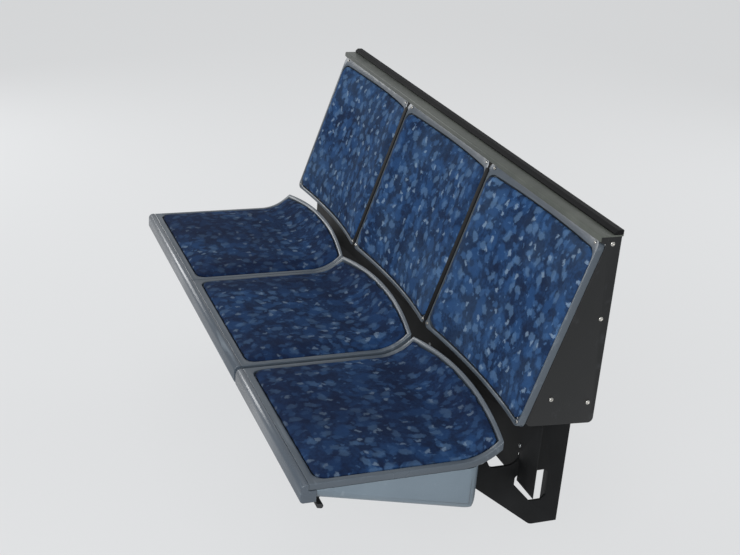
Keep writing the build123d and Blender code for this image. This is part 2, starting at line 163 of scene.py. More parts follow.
def grime_and_painted_shade(tree, reach, amount):
    """Grime with painted shade in the corners and gaps, within reach of the face beside them.
    """
    open_sky = put(tree, "AmbientOcclusion", {"Distance": reach}, samples=6)
    return put(tree, "MapRange", {"Value": open_sky.outputs["AO"], "From Min": 0.75,
                                  "From Max": 0.25, "To Min": 0.0, "To Max": amount})


def moulded_plastic(name, base, pale, dirt, roughness, scuffs, grain=1.4 * mm):
    """Polycarbonate, injection moulded: a fine spark grain under a soft gloss, long pale
    scuffs, edges rubbed paler, and grime with painted shade where pads and gaps meet it."""
    material, tree, surface, place = start_material(name, base, roughness, IOR=1.58)
    cloud = patches(tree, place, 0.16, 0.30, 0.72, 0.55)
    scuff = patches(tree, place, 20 * mm, 0.60, 0.74, scuffs, (0.10, 1.2, 1.0), 8.0)
    tone = put(tree, "Mix", {"Factor": cloud, 6: linear(base), 7: linear(dirt)},
               data_type="RGBA")
    tone = put(tree, "Mix", {"Factor": scuff, 6: tone, 7: linear(pale)}, data_type="RGBA")
    tone = put(tree, "Mix", {"Factor": rubbed_edges(tree, place, 2.5 * mm, 0.65), 6: tone,
                             7: linear(pale)}, data_type="RGBA")
    # Grime and painted shade: a darker grey in the corners and gaps
    tone = put(tree, "Mix", {"Factor": grime_and_painted_shade(tree, 9 * mm, 0.55), 6: tone,
                             7: linear("#2b2d2f")}, data_type="RGBA")
    dull = put(tree, "Math", {0: scuff, 1: cloud}, operation="ADD")
    shine = put(tree, "MapRange", {"Value": dull, "To Min": roughness,
                                   "To Max": roughness + 0.22})
    spark = put(tree, "TexVoronoi", {"Vector": place, "Scale": 1 / grain})
    finish_material(tree, surface, tone, shine, spark, 0.05 * mm)
    return material


def formed_sheet(name, base, pale, dirt, grain=2.2 * mm):
    """ABS sheet, vacuum formed: a leathery haircell grain, low sheen, shoe scuffs and
    dust lying in soft patches."""
    material, tree, surface, place = start_material(name, base, 0.45, IOR=1.54,
                                                    Specular_IOR_Level=0.35)
    cloud = patches(tree, place, 0.20, 0.35, 0.75, 0.6)
    scuff = patches(tree, place, 26 * mm, 0.63, 0.76, 0.35, (0.22, 1.2, 1.0), 9.0)
    tone = put(tree, "Mix", {"Factor": cloud, 6: linear(base), 7: linear(dirt)},
               data_type="RGBA")
    tone = put(tree, "Mix", {"Factor": scuff, 6: tone, 7: linear(pale)}, data_type="RGBA")
    tone = put(tree, "Mix", {"Factor": rubbed_edges(tree, place, 3 * mm, 0.5), 6: tone,
                             7: linear(pale)}, data_type="RGBA")
    # Grime and painted shade: a darker grey in the corners and gaps
    tone = put(tree, "Mix", {"Factor": grime_and_painted_shade(tree, 14 * mm, 0.5), 6: tone,
                             7: linear("#1d1e1f")}, data_type="RGBA")
    shine = put(tree, "MapRange", {"Value": cloud, "To Min": 0.38, "To Max": 0.60})
    cells = put(tree, "TexVoronoi", {"Vector": place, "Scale": 1 / grain, "Smoothness": 0.6},
                feature="SMOOTH_F1")
    finish_material(tree, surface, tone, shine, cells, 0.14 * mm)
    return material


def powder_coat(name, base, worn, roughness):
    """Steel or aluminium, powder coated: a satin skin with orange peel, dust on it, and
    edges knocked down to a paler line."""
    material, tree, surface, place = start_material(name, base, roughness, IOR=1.5,
                                                    Specular_IOR_Level=0.18)
    dust = patches(tree, place, 0.10, 0.40, 0.75, 0.30)
    tone = put(tree, "Mix", {"Factor": dust, 6: linear(base), 7: linear(worn)},
               data_type="RGBA")
    tone = put(tree, "Mix", {"Factor": rubbed_edges(tree, place, 1.6 * mm, 0.8), 6: tone,
                             7: linear(worn)}, data_type="RGBA")
    shine = put(tree, "MapRange", {"Value": dust, "To Min": roughness,
                                   "To Max": roughness + 0.5})
    peel = put(tree, "TexNoise", {"Vector": place, "Scale": 1 / (2.6 * mm), "Detail": 1.0})
    finish_material(tree, surface, tone, shine, peel, 0.10 * mm)
    return material


def ground_steel(name, base, roughness):
    """Steel bar, ground and oiled: bright, ringed by the wheel, with dark grease on it."""
    material, tree, surface, place = start_material(name, base, roughness, 1.0)
    grease = patches(tree, place, 22 * mm, 0.46, 0.66, 0.6)
    tone = put(tree, "Mix", {"Factor": grease, 6: linear(base), 7: linear("#35322d")},
               data_type="RGBA")
    shine = put(tree, "MapRange", {"Value": grease, "To Min": roughness,
                                   "To Max": roughness + 0.3})
    rings = patches(tree, place, 0.6 * mm, 0.2, 0.8, 1.0, (1.0, 0.02, 0.02), 2.0)
    finish_material(tree, surface, tone, shine, rings, 0.02 * mm)
    return material


def extruded_rubber(name, base, dust):
    """Rubber, extruded or moulded: matt black with fine die lines and grey dust."""
    material, tree, surface, place = start_material(name, base, 0.7, IOR=1.52,
                                                    Specular_IOR_Level=0.15)
    settled = patches(tree, place, 60 * mm, 0.42, 0.80, 0.5)
    tone = put(tree, "Mix", {"Factor": settled, 6: linear(base), 7: linear(dust)},
               data_type="RGBA")
    shine = put(tree, "MapRange", {"Value": settled, "To Min": 0.62, "To Max": 0.85})
    lines = patches(tree, place, 1.4 * mm, 0.3, 0.7, 1.0, (0.02, 1.0, 1.0), 2.0)
    finish_material(tree, surface, tone, shine, lines, 0.06 * mm)
    return material


def vinyl_film(name, base, faded):
    """Vinyl film, printed in one colour: smooth, a little glossy and faded in patches."""
    material, tree, surface, place = start_material(name, base, 0.34, IOR=1.5)
    sun = patches(tree, place, 35 * mm, 0.38, 0.72, 0.7)
    tone = put(tree, "Mix", {"Factor": sun, 6: linear(base), 7: linear(faded)},
               data_type="RGBA")
    shine = put(tree, "MapRange", {"Value": sun, "To Min": 0.28, "To Max": 0.5})
    ripple = put(tree, "TexNoise", {"Vector": place, "Scale": 1 / (9 * mm), "Detail": 2.0})
    finish_material(tree, surface, tone, shine, ripple, 0.08 * mm)
    return material


# A thread of the moquette is 1.2 mm wide; it is drawn at 2 mm so that it shows
thread = 2.0 * mm

# Marks woven into the moquette, from the largest to the smallest: spacing, length and
# width in millimetres, how well they cover, share of the places that have one, colour
marks = [
    (61, 56, 40, 0.60, 0.75, "#13233f"),
    (52, 50, 30, 0.60, 0.75, "#2f5a90"),
    (33, 24, 15, 0.55, 0.60, "#101d37"),
    (29, 21, 13, 0.60, 0.65, "#456ea1"),
    (41, 25, 16, 0.55, 0.62, "#688db7"),
    (19, 8, 5, 0.65, 0.40, "#587fae"),
    (38, 13, 8, 0.72, 0.55, "#95afcb"),
]


def woven_marks(tree, cloth, spacing, length, width, cover, share, seed):
    """Soft-edged marks strewn on the cloth: at most one in each cell, turned at random,
    and none in all but a share of the cells."""
    shifted = put(tree, "VectorMath", {0: cloth, 1: (seed, seed * 0.37, 0.0)},
                  operation="ADD")
    cell = put(tree, "TexVoronoi", {"Vector": shifted, "Scale": 1 / spacing,
                                    "Randomness": 0.95}, voronoi_dimensions="2D")
    offset = put(tree, "VectorMath", {0: shifted, 1: cell.outputs["Position"]},
                 operation="SUBTRACT")
    chance = put(tree, "SeparateColor", {"Color": cell.outputs["Color"]})
    angle = put(tree, "Math", {0: chance.outputs["Red"], 1: pi}, operation="MULTIPLY")
    turned = put(tree, "VectorRotate", {"Vector": offset, "Angle": angle},
                 rotation_type="Z_AXIS")
    shrunk = put(tree, "VectorMath", {0: turned, 1: (2 / length, 2 / width, 0.0)},
                 operation="MULTIPLY")
    reach = put(tree, "VectorMath", {0: shrunk}, operation="LENGTH")
    inside = put(tree, "MapRange", {"Value": reach, "From Min": 1.15, "From Max": 0.75,
                                    "To Min": 0.0, "To Max": cover})
    kept = put(tree, "Math", {0: chance.outputs["Green"], 1: share}, operation="LESS_THAN")
    return put(tree, "Math", {0: inside, 1: kept}, operation="MULTIPLY")


def moquette(name, grime_and_shade, bleach):
    """Wool moquette, woven with a cut pile: dull and soft, paler where it turns away,
    with blue marks whose outlines step from thread to thread.  The first number darkens
    it in soft patches, with grime from use and, on the seats, mostly with painted shade
    that keeps them darker than the backs; bleach is how pale the sun has made it in
    patches."""
    material, tree, surface, place = start_material(
        name, "#22365f", 0.9, IOR=1.45, Specular_IOR_Level=0.15, Sheen_Weight=0.03,
        Sheen_Roughness=0.5, Sheen_Tint=linear("#8fb0d8"))
    cloth = put(tree, "UVMap", {}, uv_map="cloth")
    stepped = put(tree, "VectorMath", {0: cloth, 1: (thread, thread, thread)},
                  operation="SNAP")
    drift = put(tree, "TexNoise", {"Vector": stepped, "Scale": 1 / (9 * mm), "Detail": 2.0})
    pull = put(tree, "VectorMath", {0: drift.outputs["Color"], 1: (0.5, 0.5, 0.5)},
               operation="SUBTRACT")
    pull = put(tree, "VectorMath", {0: pull, "Scale": 16 * mm}, operation="SCALE")
    frayed = put(tree, "VectorMath", {0: stepped, 1: pull}, operation="ADD")
    heather = patches(tree, stepped, 7 * mm, 0.36, 0.64, 1.0, detail=3.0)
    tone = put(tree, "Mix", {"Factor": heather, 6: linear("#183052"), 7: linear("#254672")},
               data_type="RGBA")
    for number, (spacing, length, width, cover, share, colour) in enumerate(marks):
        layer = woven_marks(tree, frayed, spacing * mm, length * mm, width * mm, cover,
                            share, 1.3 + 2.6 * number)
        tone = put(tree, "Mix", {"Factor": layer, 6: tone, 7: linear(colour)},
                   data_type="RGBA")
    fuzz = patches(tree, cloth, 1.0 * mm, 0.3, 0.7, 0.35, detail=2.0)
    tone = put(tree, "Mix", {"Factor": fuzz, 6: tone, 7: linear("#16243f")},
               data_type="RGBA")
    faded = patches(tree, place, 0.14, 0.42, 0.75, bleach)
    tone = put(tree, "Mix", {"Factor": faded, 6: tone, 7: linear("#6d8bab")},
               data_type="RGBA")
    # Darker in soft patches: grime from use, and on the seats mostly painted shade
    grime_and_shade_patches = patches(tree, place, 0.20, 0.15, 0.60, grime_and_shade)
    tone = put(tree, "Mix", {"Factor": grime_and_shade_patches, 6: tone, 7: linear("#0c1430")},
               data_type="RGBA")
    across, along = [
        put(tree, "TexWave", {"Vector": cloth, "Scale": pi / 10 / thread, "Distortion": 0.5,
                              "Detail Scale": 3.0}, bands_direction=direction)
        for direction in ("X", "Y")]
    ribs = put(tree, "Math", {0: across, 1: along}, operation="MULTIPLY")
    pile = put(tree, "Math", {0: ribs, 1: fuzz}, operation="ADD")
    shine = put(tree, "MapRange", {"Value": pile, "To Min": 0.95, "To Max": 0.82})
    finish_material(tree, surface, tone, shine, pile, 0.35 * mm)
    return material


# The seats' copy is darkened much more than the backs': a little grime, and mostly painted
# shade
back_moquette = moquette("wool_moquette_woven", 0.08, 0.16)
seat_moquette = moquette("wool_moquette_woven_with_grime_and_painted_shade", 0.68, 0.02)
shell_grey = moulded_plastic("polycarbonate_moulded_grey", "#4e5862", "#87919b", "#414a53",
                             0.26, 0.30)
nose_grey = moulded_plastic("polycarbonate_moulded_dark_grey", "#4d5762", "#8d98a2",
                            "#414a53", 0.20, 0.45)
cover_grey = formed_sheet("abs_sheet_vacuum_formed_grey", "#76848f", "#a2adb6", "#5d6872")
end_black = formed_sheet("abs_sheet_vacuum_formed_black", "#121314", "#3c3f42", "#1c1e1f")
lever_black = moulded_plastic("nylon_moulded_black", "#191a1c", "#4a4c50", "#242628",
                              0.40, 0.2)
frame_black = powder_coat("steel_powder_coated_black", "#0a0b0c", "#343537", 0.60)
ledge_olive = powder_coat("aluminium_powder_coated_olive_grey", "#4f534e", "#83867f", 0.32)
shaft_bright = ground_steel("steel_bar_ground", "#a9a7a3", 0.20)
strip_black = extruded_rubber("epdm_rubber_extruded", "#09090a", "#1e1f20")
stop_black = extruded_rubber("neoprene_moulded", "#121212", "#2e2e2e")
screw_bright = ground_steel("stainless_steel_cold_headed", "#c4c2bd", 0.22)
bolt_zinc = ground_steel("steel_zinc_plated", "#a5a8ab", 0.34)
label_white = vinyl_film("vinyl_film_white", "#cfd6dc", "#aeb8c0")
label_yellow = vinyl_film("vinyl_film_yellow", "#c9991c", "#a9893c")
label_red = vinyl_film("vinyl_film_red", "#8e2431", "#743a41")

# material slot in the record, finish
finishes = {
    "shell_plastic": shell_grey,
    "nose_plastic": nose_grey,
    "cover_plastic": cover_grey,
    "end_plastic": end_black,
    "lever_plastic": lever_black,
    "ledge_paint": ledge_olive,
    "frame_paint": frame_black,
    "shaft_steel": shaft_bright,
    "strip_rubber": strip_black,
    "stop_rubber": stop_black,
}


# Meshes

def new_piece(name, shape, material):
    """A smooth-shaded object at the origin from a bmesh, with one material."""
    mesh = bpy.data.meshes.new(name)
    shape.to_mesh(mesh)
    shape.free()
    mesh.materials.append(material)
    mesh.shade_smooth()
    piece = bpy.data.objects.new(name, mesh)
    bpy.context.scene.collection.objects.link(piece)
    return piece


def merged_copy(node):
    """A bmesh of a node's own shape, with its corners joined and its flats made whole."""
    shape = bmesh.new()
    shape.from_mesh(nodes[node].data)
    bmesh.ops.remove_doubles(shape, verts=shape.verts, dist=0.01 * mm)
    bmesh.ops.dissolve_limit(shape, angle_limit=radians(0.4), verts=shape.verts,
                             edges=shape.edges)
    return shape


def soften(node, width):
    """Puts in place of a hard node the same shape with its edges rounded over."""
    piece = new_piece(node + "_finished", merged_copy(node), finishes[slot_of[node]])
    rounding = piece.modifiers.new("rounded_edges", "BEVEL")
    rounding.width = width
    rounding.segments = 2
    rounding.limit_method = "ANGLE"
    rounding.angle_limit = radians(32)
    rounding.harden_normals = True
    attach(piece, body_of[node])
    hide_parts(node)


# Pads

def rows(mesh, field="co"):
    """The mesh's corners, or their normals, as rows of three numbers."""
    values = np.empty(len(mesh.vertices) * 3)
    mesh.vertices.foreach_get(field, values)
    return values.reshape(-1, 3)


def seat_cloth(spots):
    """Where points of a seat's pad lie on its flat cloth: across, and from the bend."""
    run = spots[:, 1] - bend_y
    bend_run = rise_radius * sin(rise_slope)
    on_bend = rise_radius * np.arcsin(np.clip(run / rise_radius, 0, sin(rise_slope)))
    past = (run - bend_run) / cos(rise_slope)
    along = np.where(run < 0, run, np.where(run < bend_run, on_bend, on_bend + past))
    return np.stack([spots[:, 0], along], axis=1)


def back_cloth(spots):
    """Where points of a back's pad lie on its flat cloth: across, and up the slope."""
    return np.stack([spots[:, 0], (spots - np.array(back_foot)) @ np.array(back_up)], axis=1)


def swell(piece, facing):
    """Blows the pad's skin up with pressure, and keeps its underside where it is."""
    start, normals = rows(piece.data), rows(piece.data, "normal")
    held = piece.vertex_groups.new(name="held")
    held.add([int(i) for i in np.flatnonzero(facing == 0)], 1.0, "REPLACE")
    cloth = piece.modifiers.new("foam_and_cloth", "CLOTH")
    cloth.settings.quality = 4
    cloth.settings.mass = 0.25
    cloth.settings.tension_stiffness = 12
    cloth.settings.compression_stiffness = 12
    cloth.settings.shear_stiffness = 4
    cloth.settings.bending_stiffness = 0.6
    cloth.settings.use_pressure = True
    cloth.settings.uniform_pressure_force = pad_pressure
    cloth.settings.effector_weights.gravity = 0
    cloth.settings.vertex_group_mass = held.name
    cloth.point_cache.frame_start = 1
    cloth.point_cache.frame_end = pad_frames
    for number in range(1, pad_frames + 1):
        bpy.context.scene.frame_set(number)
    solved = piece.evaluated_get(bpy.context.evaluated_depsgraph_get())
    end = rows(solved.data)
    piece.modifiers.remove(cloth)
    bpy.context.scene.frame_set(1)
    lift = np.clip(((end - start) * normals).sum(axis=1), 0, pad_lift) * facing
    piece.data.vertices.foreach_set("co", (start + normals * lift[:, None]).ravel())
    piece.data.update()


def make_pad(node, up, lay_out, cover, seed):
    """A foam pad covered in moquette, in the place of its plain node."""
    shape = merged_copy(node)
    shape.normal_update()
    for vertex in shape.verts:
        vertex.co -= vertex.normal * pad_shrink
    shape.transform(pad_turn)
    form = new_piece(node + "_form", shape, cover)
    block = bpy.data.objects.new(node + "_block", form.data)
    bpy.context.scene.collection.objects.link(block)
    remesh = block.modifiers.new("even_skin", "REMESH")
    remesh.mode = "VOXEL"
    remesh.voxel_size = pad_voxel
    evened = block.modifiers.new("steps_evened", "SMOOTH")
    evened.iterations = pad_evening
    settled = block.modifiers.new("on_the_form", "SHRINKWRAP")
    settled.target = form
    rolled = block.modifiers.new("rolled_rim", "SMOOTH")
    rolled.iterations = pad_rolling
    solved = block.evaluated_get(bpy.context.evaluated_depsgraph_get())
    shape = bmesh.new()
    shape.from_mesh(solved.data)
    shape.transform(pad_turn.inverted())
    bpy.data.objects.remove(block)
    bpy.data.objects.remove(form)
    piece = new_piece(node + "_padded", shape, cover)
    skin = piece.data
    slant = rows(skin, "normal") @ np.array(up)
    swell(piece, np.clip((slant - pad_facing) / pad_facing_range, 0, 1))
    spots, normals = rows(skin), rows(skin, "normal")
    rumple = [unevenness(Vector(spot) / wrinkle_size + Vector((seed, 0, 0))) for spot in spots]
    rise = np.array(rumple) * wrinkle_height * np.clip(slant, 0, 1)
    skin.vertices.foreach_set("co", (spots + normals * rise[:, None]).ravel())
    corners = np.empty(len(skin.loops), dtype=np.int32)
    skin.loops.foreach_get("vertex_index", corners)
    skin.uv_layers.new(name="cloth").data.foreach_set("uv", lay_out(spots)[corners].ravel())
    skin.update()
    smooth = piece.modifiers.new("smooth_skin", "SUBSURF")
    smooth.levels = 1
    smooth.render_levels = 1
    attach(piece, body_of[node])
    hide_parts(node)


# Screws, bolts, rings and labels

def landing(node, start, direction):
    """Where a line from start first meets a node, and which way its face points there."""
    mesh = nodes[node].data
    tree = BVHTree.FromPolygons([v.co for v in mesh.vertices],
                                [tuple(p.vertices) for p in mesh.polygons])
    spot, normal, _face, _distance = tree.ray_cast(start, direction)
    return spot, normal


def disc(radius, height, sides=24):
    """A low disc on z = 0, with its top face last."""
    shape = bmesh.new()
    bmesh.ops.create_circle(shape, cap_ends=True, segments=sides, radius=radius)
    raised = bmesh.ops.extrude_face_region(shape, geom=shape.faces[:])["geom"]
    tops = [v for v in raised if isinstance(v, bmesh.types.BMVert)]
    bmesh.ops.translate(shape, verts=tops, vec=(0, 0, height))
    bmesh.ops.recalc_face_normals(shape, faces=shape.faces)
    return shape


def round_rim(shape, height, offset, segments):
    """Rounds or chamfers the upper rim of a disc."""
    rim = [e for e in shape.edges if all(v.co.z > height / 2 for v in e.verts)]
    bmesh.ops.bevel(shape, geom=rim, offset=offset, segments=segments, profile=0.5,
                    affect="EDGES", material=-1)


def button_head(radius, height):
    """A button-head screw with a round socket, standing on z = 0."""
    shape = disc(radius, height)
    round_rim(shape, height, height * 0.8, 4)
    crown = max(shape.faces, key=lambda f: (round(f.calc_center_median().z, 6), f.calc_area()))
    bmesh.ops.inset_individual(shape, faces=[crown], thickness=radius * 0.14)
    bmesh.ops.inset_individual(shape, faces=[crown], thickness=radius * 0.02,
                               depth=-height * 0.6)
    return shape


def hexagon_bolt(across, height):
    """A hexagon head on a flat washer, standing on z = 0."""
    washer = across * 0.09
    shape = disc(across * 0.62, washer, 32)
    round_rim(shape, washer, washer * 0.4, 1)
    head = disc(across / 2 / cos(pi / 6), height, 6)
    round_rim(head, height, height * 0.14, 2)
    bmesh.ops.translate(head, verts=head.verts, vec=(0, 0, washer))
    stamp(shape, head, Vector((0, 0, 0)), Vector((0, 0, 1)))
    head.free()
    return shape


def spring_ring(inner, outer, thick):
    """A flat retaining ring on z = 0."""
    shape = bmesh.new()
    profile = [(inner, 0), (outer, 0), (outer, thick), (inner, thick)]
    corners = [shape.verts.new((radius, 0, height)) for radius, height in profile]
    sides = [shape.edges.new((corners[i - 1], corners[i])) for i in range(4)]
    bmesh.ops.spin(shape, geom=corners + sides, cent=(0, 0, 0), axis=(0, 0, 1),
                   angle=2 * pi, steps=32, use_merge=True)
    bmesh.ops.recalc_face_normals(shape, faces=shape.faces)
    return shape


def label(width, height):
    """A thin film with rounded corners, standing on z = 0."""
    shape = bmesh.new()
    corners = [shape.verts.new((x * width / 2, y * height / 2, 0))
               for x, y in ((-1, -1), (1, -1), (1, 1), (-1, 1))]
    shape.faces.new(corners)
    bmesh.ops.bevel(shape, geom=corners, offset=4 * mm, segments=4, profile=0.5,
                    affect="VERTICES", material=-1)
    raised = bmesh.ops.extrude_face_region(shape, geom=shape.faces[:])["geom"]
    tops = [v for v in raised if isinstance(v, bmesh.types.BMVert)]
    bmesh.ops.translate(shape, verts=tops, vec=(0, 0, 0.25 * mm))
    bmesh.ops.recalc_face_normals(shape, faces=shape.faces)
    return shape


def stamp(shape, part, spot, normal):
    """Adds a copy of a part to a shape, standing on a spot and facing along a normal."""
    carrier = bpy.data.meshes.new("carrier")
    part.to_mesh(carrier)
    before = len(shape.verts)
    shape.from_mesh(carrier)
    bpy.data.meshes.remove(carrier)
    shape.verts.ensure_lookup_table()
    across = Vector((1, 0, 0)) if abs(normal.x) < 0.9 else Vector((0, 1, 0))
    along = normal.cross(across).normalized()
    turn = Matrix((along.cross(normal), along, normal)).transposed().to_4x4()
    bmesh.ops.transform(shape, matrix=Matrix.Translation(spot) @ turn,
                        verts=shape.verts[before:])


def scatter(name, part, spots, material, body):
    """One piece made of copies of a part at (spot, normal) pairs, riding on a body."""
    shape = bmesh.new()
    for spot, normal in spots:
        stamp(shape, part, spot, normal)
    part.free()
    piece = new_piece(name, shape, material)
    edges = piece.modifiers.new("crisp_edges", "EDGE_SPLIT")
    edges.split_angle = radians(38)
    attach(piece, body)


# Button heads: radius and height.  Hexagon heads: size across the flats and height.
# Rings: inner radius, outer radius and thickness.
back_corner_head = (3.6 * mm, 2.0 * mm)
pan_head = (4 * mm, 2 * mm)
end_cap_head = (4.5 * mm, 2.2 * mm)
cover_head = (5 * mm, 2.4 * mm)
lever_head = (2.6 * mm, 1.4 * mm)
wall_bolt_head = (17 * mm, 6.4 * mm)
shell_bolt_head = (10 * mm, 4 * mm)
shaft_ring = (10.6 * mm, 15 * mm, 1.3 * mm)

# share of a back's half width, distance up its slope in millimetres, and how far before
# and behind the backs a search for a face starts
back_corner_screws = [(0.952, 9.2), (0.915, 369)]
before_back = 100 * mm
behind_back = 120 * mm

# s and h of the screws in an end cap, and how far out along the bench the search for the
# cap's face starts
end_cap_screws = [(18, 545), (18, 715), (18, 860), (96, 560)]
beyond_end = 720

# wall bolts: distance from the bracket's plate, thickness of the flange they hold, heights
wall_bolt_offset = 30
flange_thick = 8
wall_bolt_heights = (262, 790)

# pan screws: a distance in front of the pan, and heights
before_pan = 200
pan_screw_heights = (420, 485)

# bolts that hold a back's shell: node behind it and distance up the slope, then the
# distance from the middle of the place
shell_bolts = [("back_tube_lower", 50.5), ("back_rail_upper", 310)]
shell_bolt_x = 150

# screws in an under-cover and in a lever's plate: distances out from the wall, then the
# lever's screws' distance from its middle, and a height below both
cover_screw_rows = (522, 262)
lever_screw_rows = (502, 521)
lever_screw_x = 33
under_unit = 200

# s and h of the pivot
pivot_s, pivot_h = 198, 422

# unit, body, x of the screws along the cover, x of the lever, x of the shaft's ends
unit_fittings = [
    ("double", "double_seat", (-640, -440, -240, -40), 157, (-621, 175)),
    ("single", "single_seat", (265, 400, 535), 613, (275, 621)),
]

# colour, x and s of the middle, width and height of the blank labels on the double cover
labels = [
    ("white", label_white, -330, 345, 130, 34),
    ("yellow", label_yellow, -205, 350, 84, 56),
    ("red", label_red, -122, 350, 52, 56),
    ("pale", label_white, -75, 350, 34, 56),
]


# s and h of the corners of the wall strip, of the foam under the ledge and of an end cap's
# gusset
# The wall strip reaches 18 mm out, deeper than the rubber strip itself, so that its black also
# stands in for the shade between the ledge and the wall: partly painted shade.
strip_outline = [(0, 877.1), (18, 877.1), (18, 880.5), (12, 886), (0, 886)]
foam_outline = [(8.6, 863.6), (16.4, 864.4), (16.4, 873.9), (8.6, 873.9)]
gusset_outline = [(28.6, 863), (30, 859), (42.8, 862.8), (42.8, 873.9), (28.6, 873.9)]

# ends of the foam under the ledge, between the bracket plates
foam_spans = [(-664, -600), (-592, 146), (154, 296), (304, 592), (600, 664)]

# x and place up the slope of half of the corners of a joint strip's stem and of its cap
joint_stem = [(8.8, 3), (6.8, 5), (3.5, 11), (3.5, 362), (6.2, 372), (9.2, 376),
              (12, 378.5)]
# The cap is wide enough to cover the rims, so its black stands in for the joint's shade:
# painted shade.
joint_cap = [(4.5, 11), (7, 15), (7, 358), (4.5, 362)]

# outline, height above the backs' rims and thickness of a joint strip's two parts
joint_parts = [(joint_stem, -1.2, 10), (joint_cap, 0.9, 2.4)]


def bar_across(name, outline, spans, material):
    """A bar along the bench with an outline in s and h, in one or more spans of x."""
    shape = bmesh.new()
    for low_x, high_x in spans:
        end = shape.faces.new([shape.verts.new(point(low_x, s, h)) for s, h in outline])
        drawn = bmesh.ops.extrude_face_region(shape, geom=[end])["geom"]
        far_side = [v for v in drawn if isinstance(v, bmesh.types.BMVert)]
        bmesh.ops.translate(shape, verts=far_side, vec=((high_x - low_x) * mm, 0, 0))
    bmesh.ops.recalc_face_normals(shape, faces=shape.faces)
    piece = new_piece(name, shape, material)
    easing = piece.modifiers.new("eased_edges", "BEVEL")
    easing.width = 0.8 * mm
    easing.segments = 2
    easing.harden_normals = True
    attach(piece, "wall_frame")
    return piece


def add_joint_strips_and_shade():
    """Black rubber strips in the joints between the backs: a stem that fills the joint, and a
    cap that lies on the rims on both sides of it.  Their black is partly painted shade:
    the caps cover the rims, so that the joint reads as dark as its shade."""
    for joint, centre in (("far", -225), ("near", 225)):
        shape = bmesh.new()
        for half, above, thick in joint_parts:
            outline = half + [(-x, up) for x, up in reversed(half)]
            corners = [shape.verts.new(back_foot + back_up * up * mm + back_out * above * mm
                                       + Vector(((centre + x) * mm, 0, 0)))
                       for x, up in outline]
            front = shape.faces.new(corners)
            drawn = bmesh.ops.extrude_face_region(shape, geom=[front])["geom"]
            rear = [v for v in drawn if isinstance(v, bmesh.types.BMVert)]
            bmesh.ops.translate(shape, verts=rear, vec=-back_out * thick * mm)
        bmesh.ops.recalc_face_normals(shape, faces=shape.faces)
        bmesh.ops.bevel(shape, geom=shape.edges[:], offset=0.6 * mm, segments=2, profile=0.5,
                        affect="EDGES", material=-1)
        strip = new_piece("back_joint_strip_and_shade_" + joint, shape, strip_black)
        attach(strip, "wall_frame")


def add_closures():
    """The strip along the wall, partly painted shade, the foam under the ledge and the end
    caps' gussets.
    """
    strip = bar_across("wall_strip_finished", strip_outline, [(-675, 675)], strip_black)
    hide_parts("wall_strip")
    bar_across("ledge_foam", foam_outline, foam_spans, stop_black)
    for end, span in (("far", (-672, -668)), ("near", (668, 672))):
        bar_across("end_gusset_" + end, gusset_outline, [span], end_black)


def add_fixed_fittings():
    """Screws and bolts on what stays on the wall."""
    spots = []
    for place, centre in place_centres.items():
        for share, up in back_corner_screws:
            for side in (-1, 1):
                start = back_foot + back_up * up * mm + back_out * before_back
                start.x = centre + side * share * place_half
                spots.append(landing("back_shell_" + place, start, -back_out))
    scatter("back_corner_screws", button_head(*back_corner_head), spots, screw_bright,
            "wall_frame")

    spots = [(point(x + side * wall_bolt_offset, flange_thick, h), Vector((0, -1, 0)))
             for x, side in brackets for h in wall_bolt_heights]
    scatter("wall_bolts", hexagon_bolt(*wall_bolt_head), spots, bolt_zinc, "wall_frame")

    spots = [landing("closing_pan", point(x, before_pan, h), Vector((0, 1, 0)))
             for x, _side in brackets for h in pan_screw_heights]
    scatter("pan_screws", button_head(*pan_head), spots, bolt_zinc, "wall_frame")

    spots = []
    for end, side in (("far", -1), ("near", 1)):
        for s, h in end_cap_screws:
            spots.append(landing("end_cap_" + end, point(side * beyond_end, s, h),
                                 Vector((-side, 0, 0))))
    scatter("end_cap_screws", button_head(*end_cap_head), spots, screw_bright,
            "wall_frame")

    spots = []
    for centre in place_centres.values():
        for side in (-1, 1):
            for node, up in shell_bolts:
                start = back_foot + back_up * up * mm - back_out * behind_back
                start.x = centre + side * shell_bolt_x * mm
                spots.append(landing(node, start, back_out))
    scatter("shell_bolts", hexagon_bolt(*shell_bolt_head), spots, bolt_zinc, "wall_frame")


def add_unit_fittings():
    """Screws, rings and labels on the two units that fold up."""
    for unit, body, cover_xs, lever_x, ring_xs in unit_fittings:
        cover = "under_cover_" + unit
        spots = [landing(cover, point(x, s, under_unit), Vector((0, 0, 1)))
                 for x in cover_xs for s in cover_screw_rows]
        scatter("cover_screws_" + unit, button_head(*cover_head), spots, screw_bright,
                body)
        spots = [landing("release_lever_" + unit,
                         point(lever_x + side * lever_screw_x, s, under_unit),
                         Vector((0, 0, 1))) for side in (-1, 1) for s in lever_screw_rows]
        scatter("lever_screws_" + unit, button_head(*lever_head), spots, screw_bright,
                body)
        spots = [(point(x, pivot_s, pivot_h), Vector((1, 0, 0))) for x in ring_xs]
        scatter("shaft_rings_" + unit, spring_ring(*shaft_ring), spots, bolt_zinc,
                "wall_frame")
    for colour, film, x, s, width, height in labels:
        spots = [landing("under_cover_double", point(x, s, under_unit),
                         Vector((0, 0, 1)))]
        scatter("blank_label_" + colour, label(width * mm, height * mm), spots, film,
                "double_seat")


# Each pad's creases are taken from another part of the same unevenness
for place, centre in place_centres.items():
    seed = 3.7 * centre
    make_pad("seat_pad_" + place, (0, 0, 1), seat_cloth, seat_moquette, seed)
    make_pad("back_pad_" + place, back_out, back_cloth, back_moquette, seed + 9)

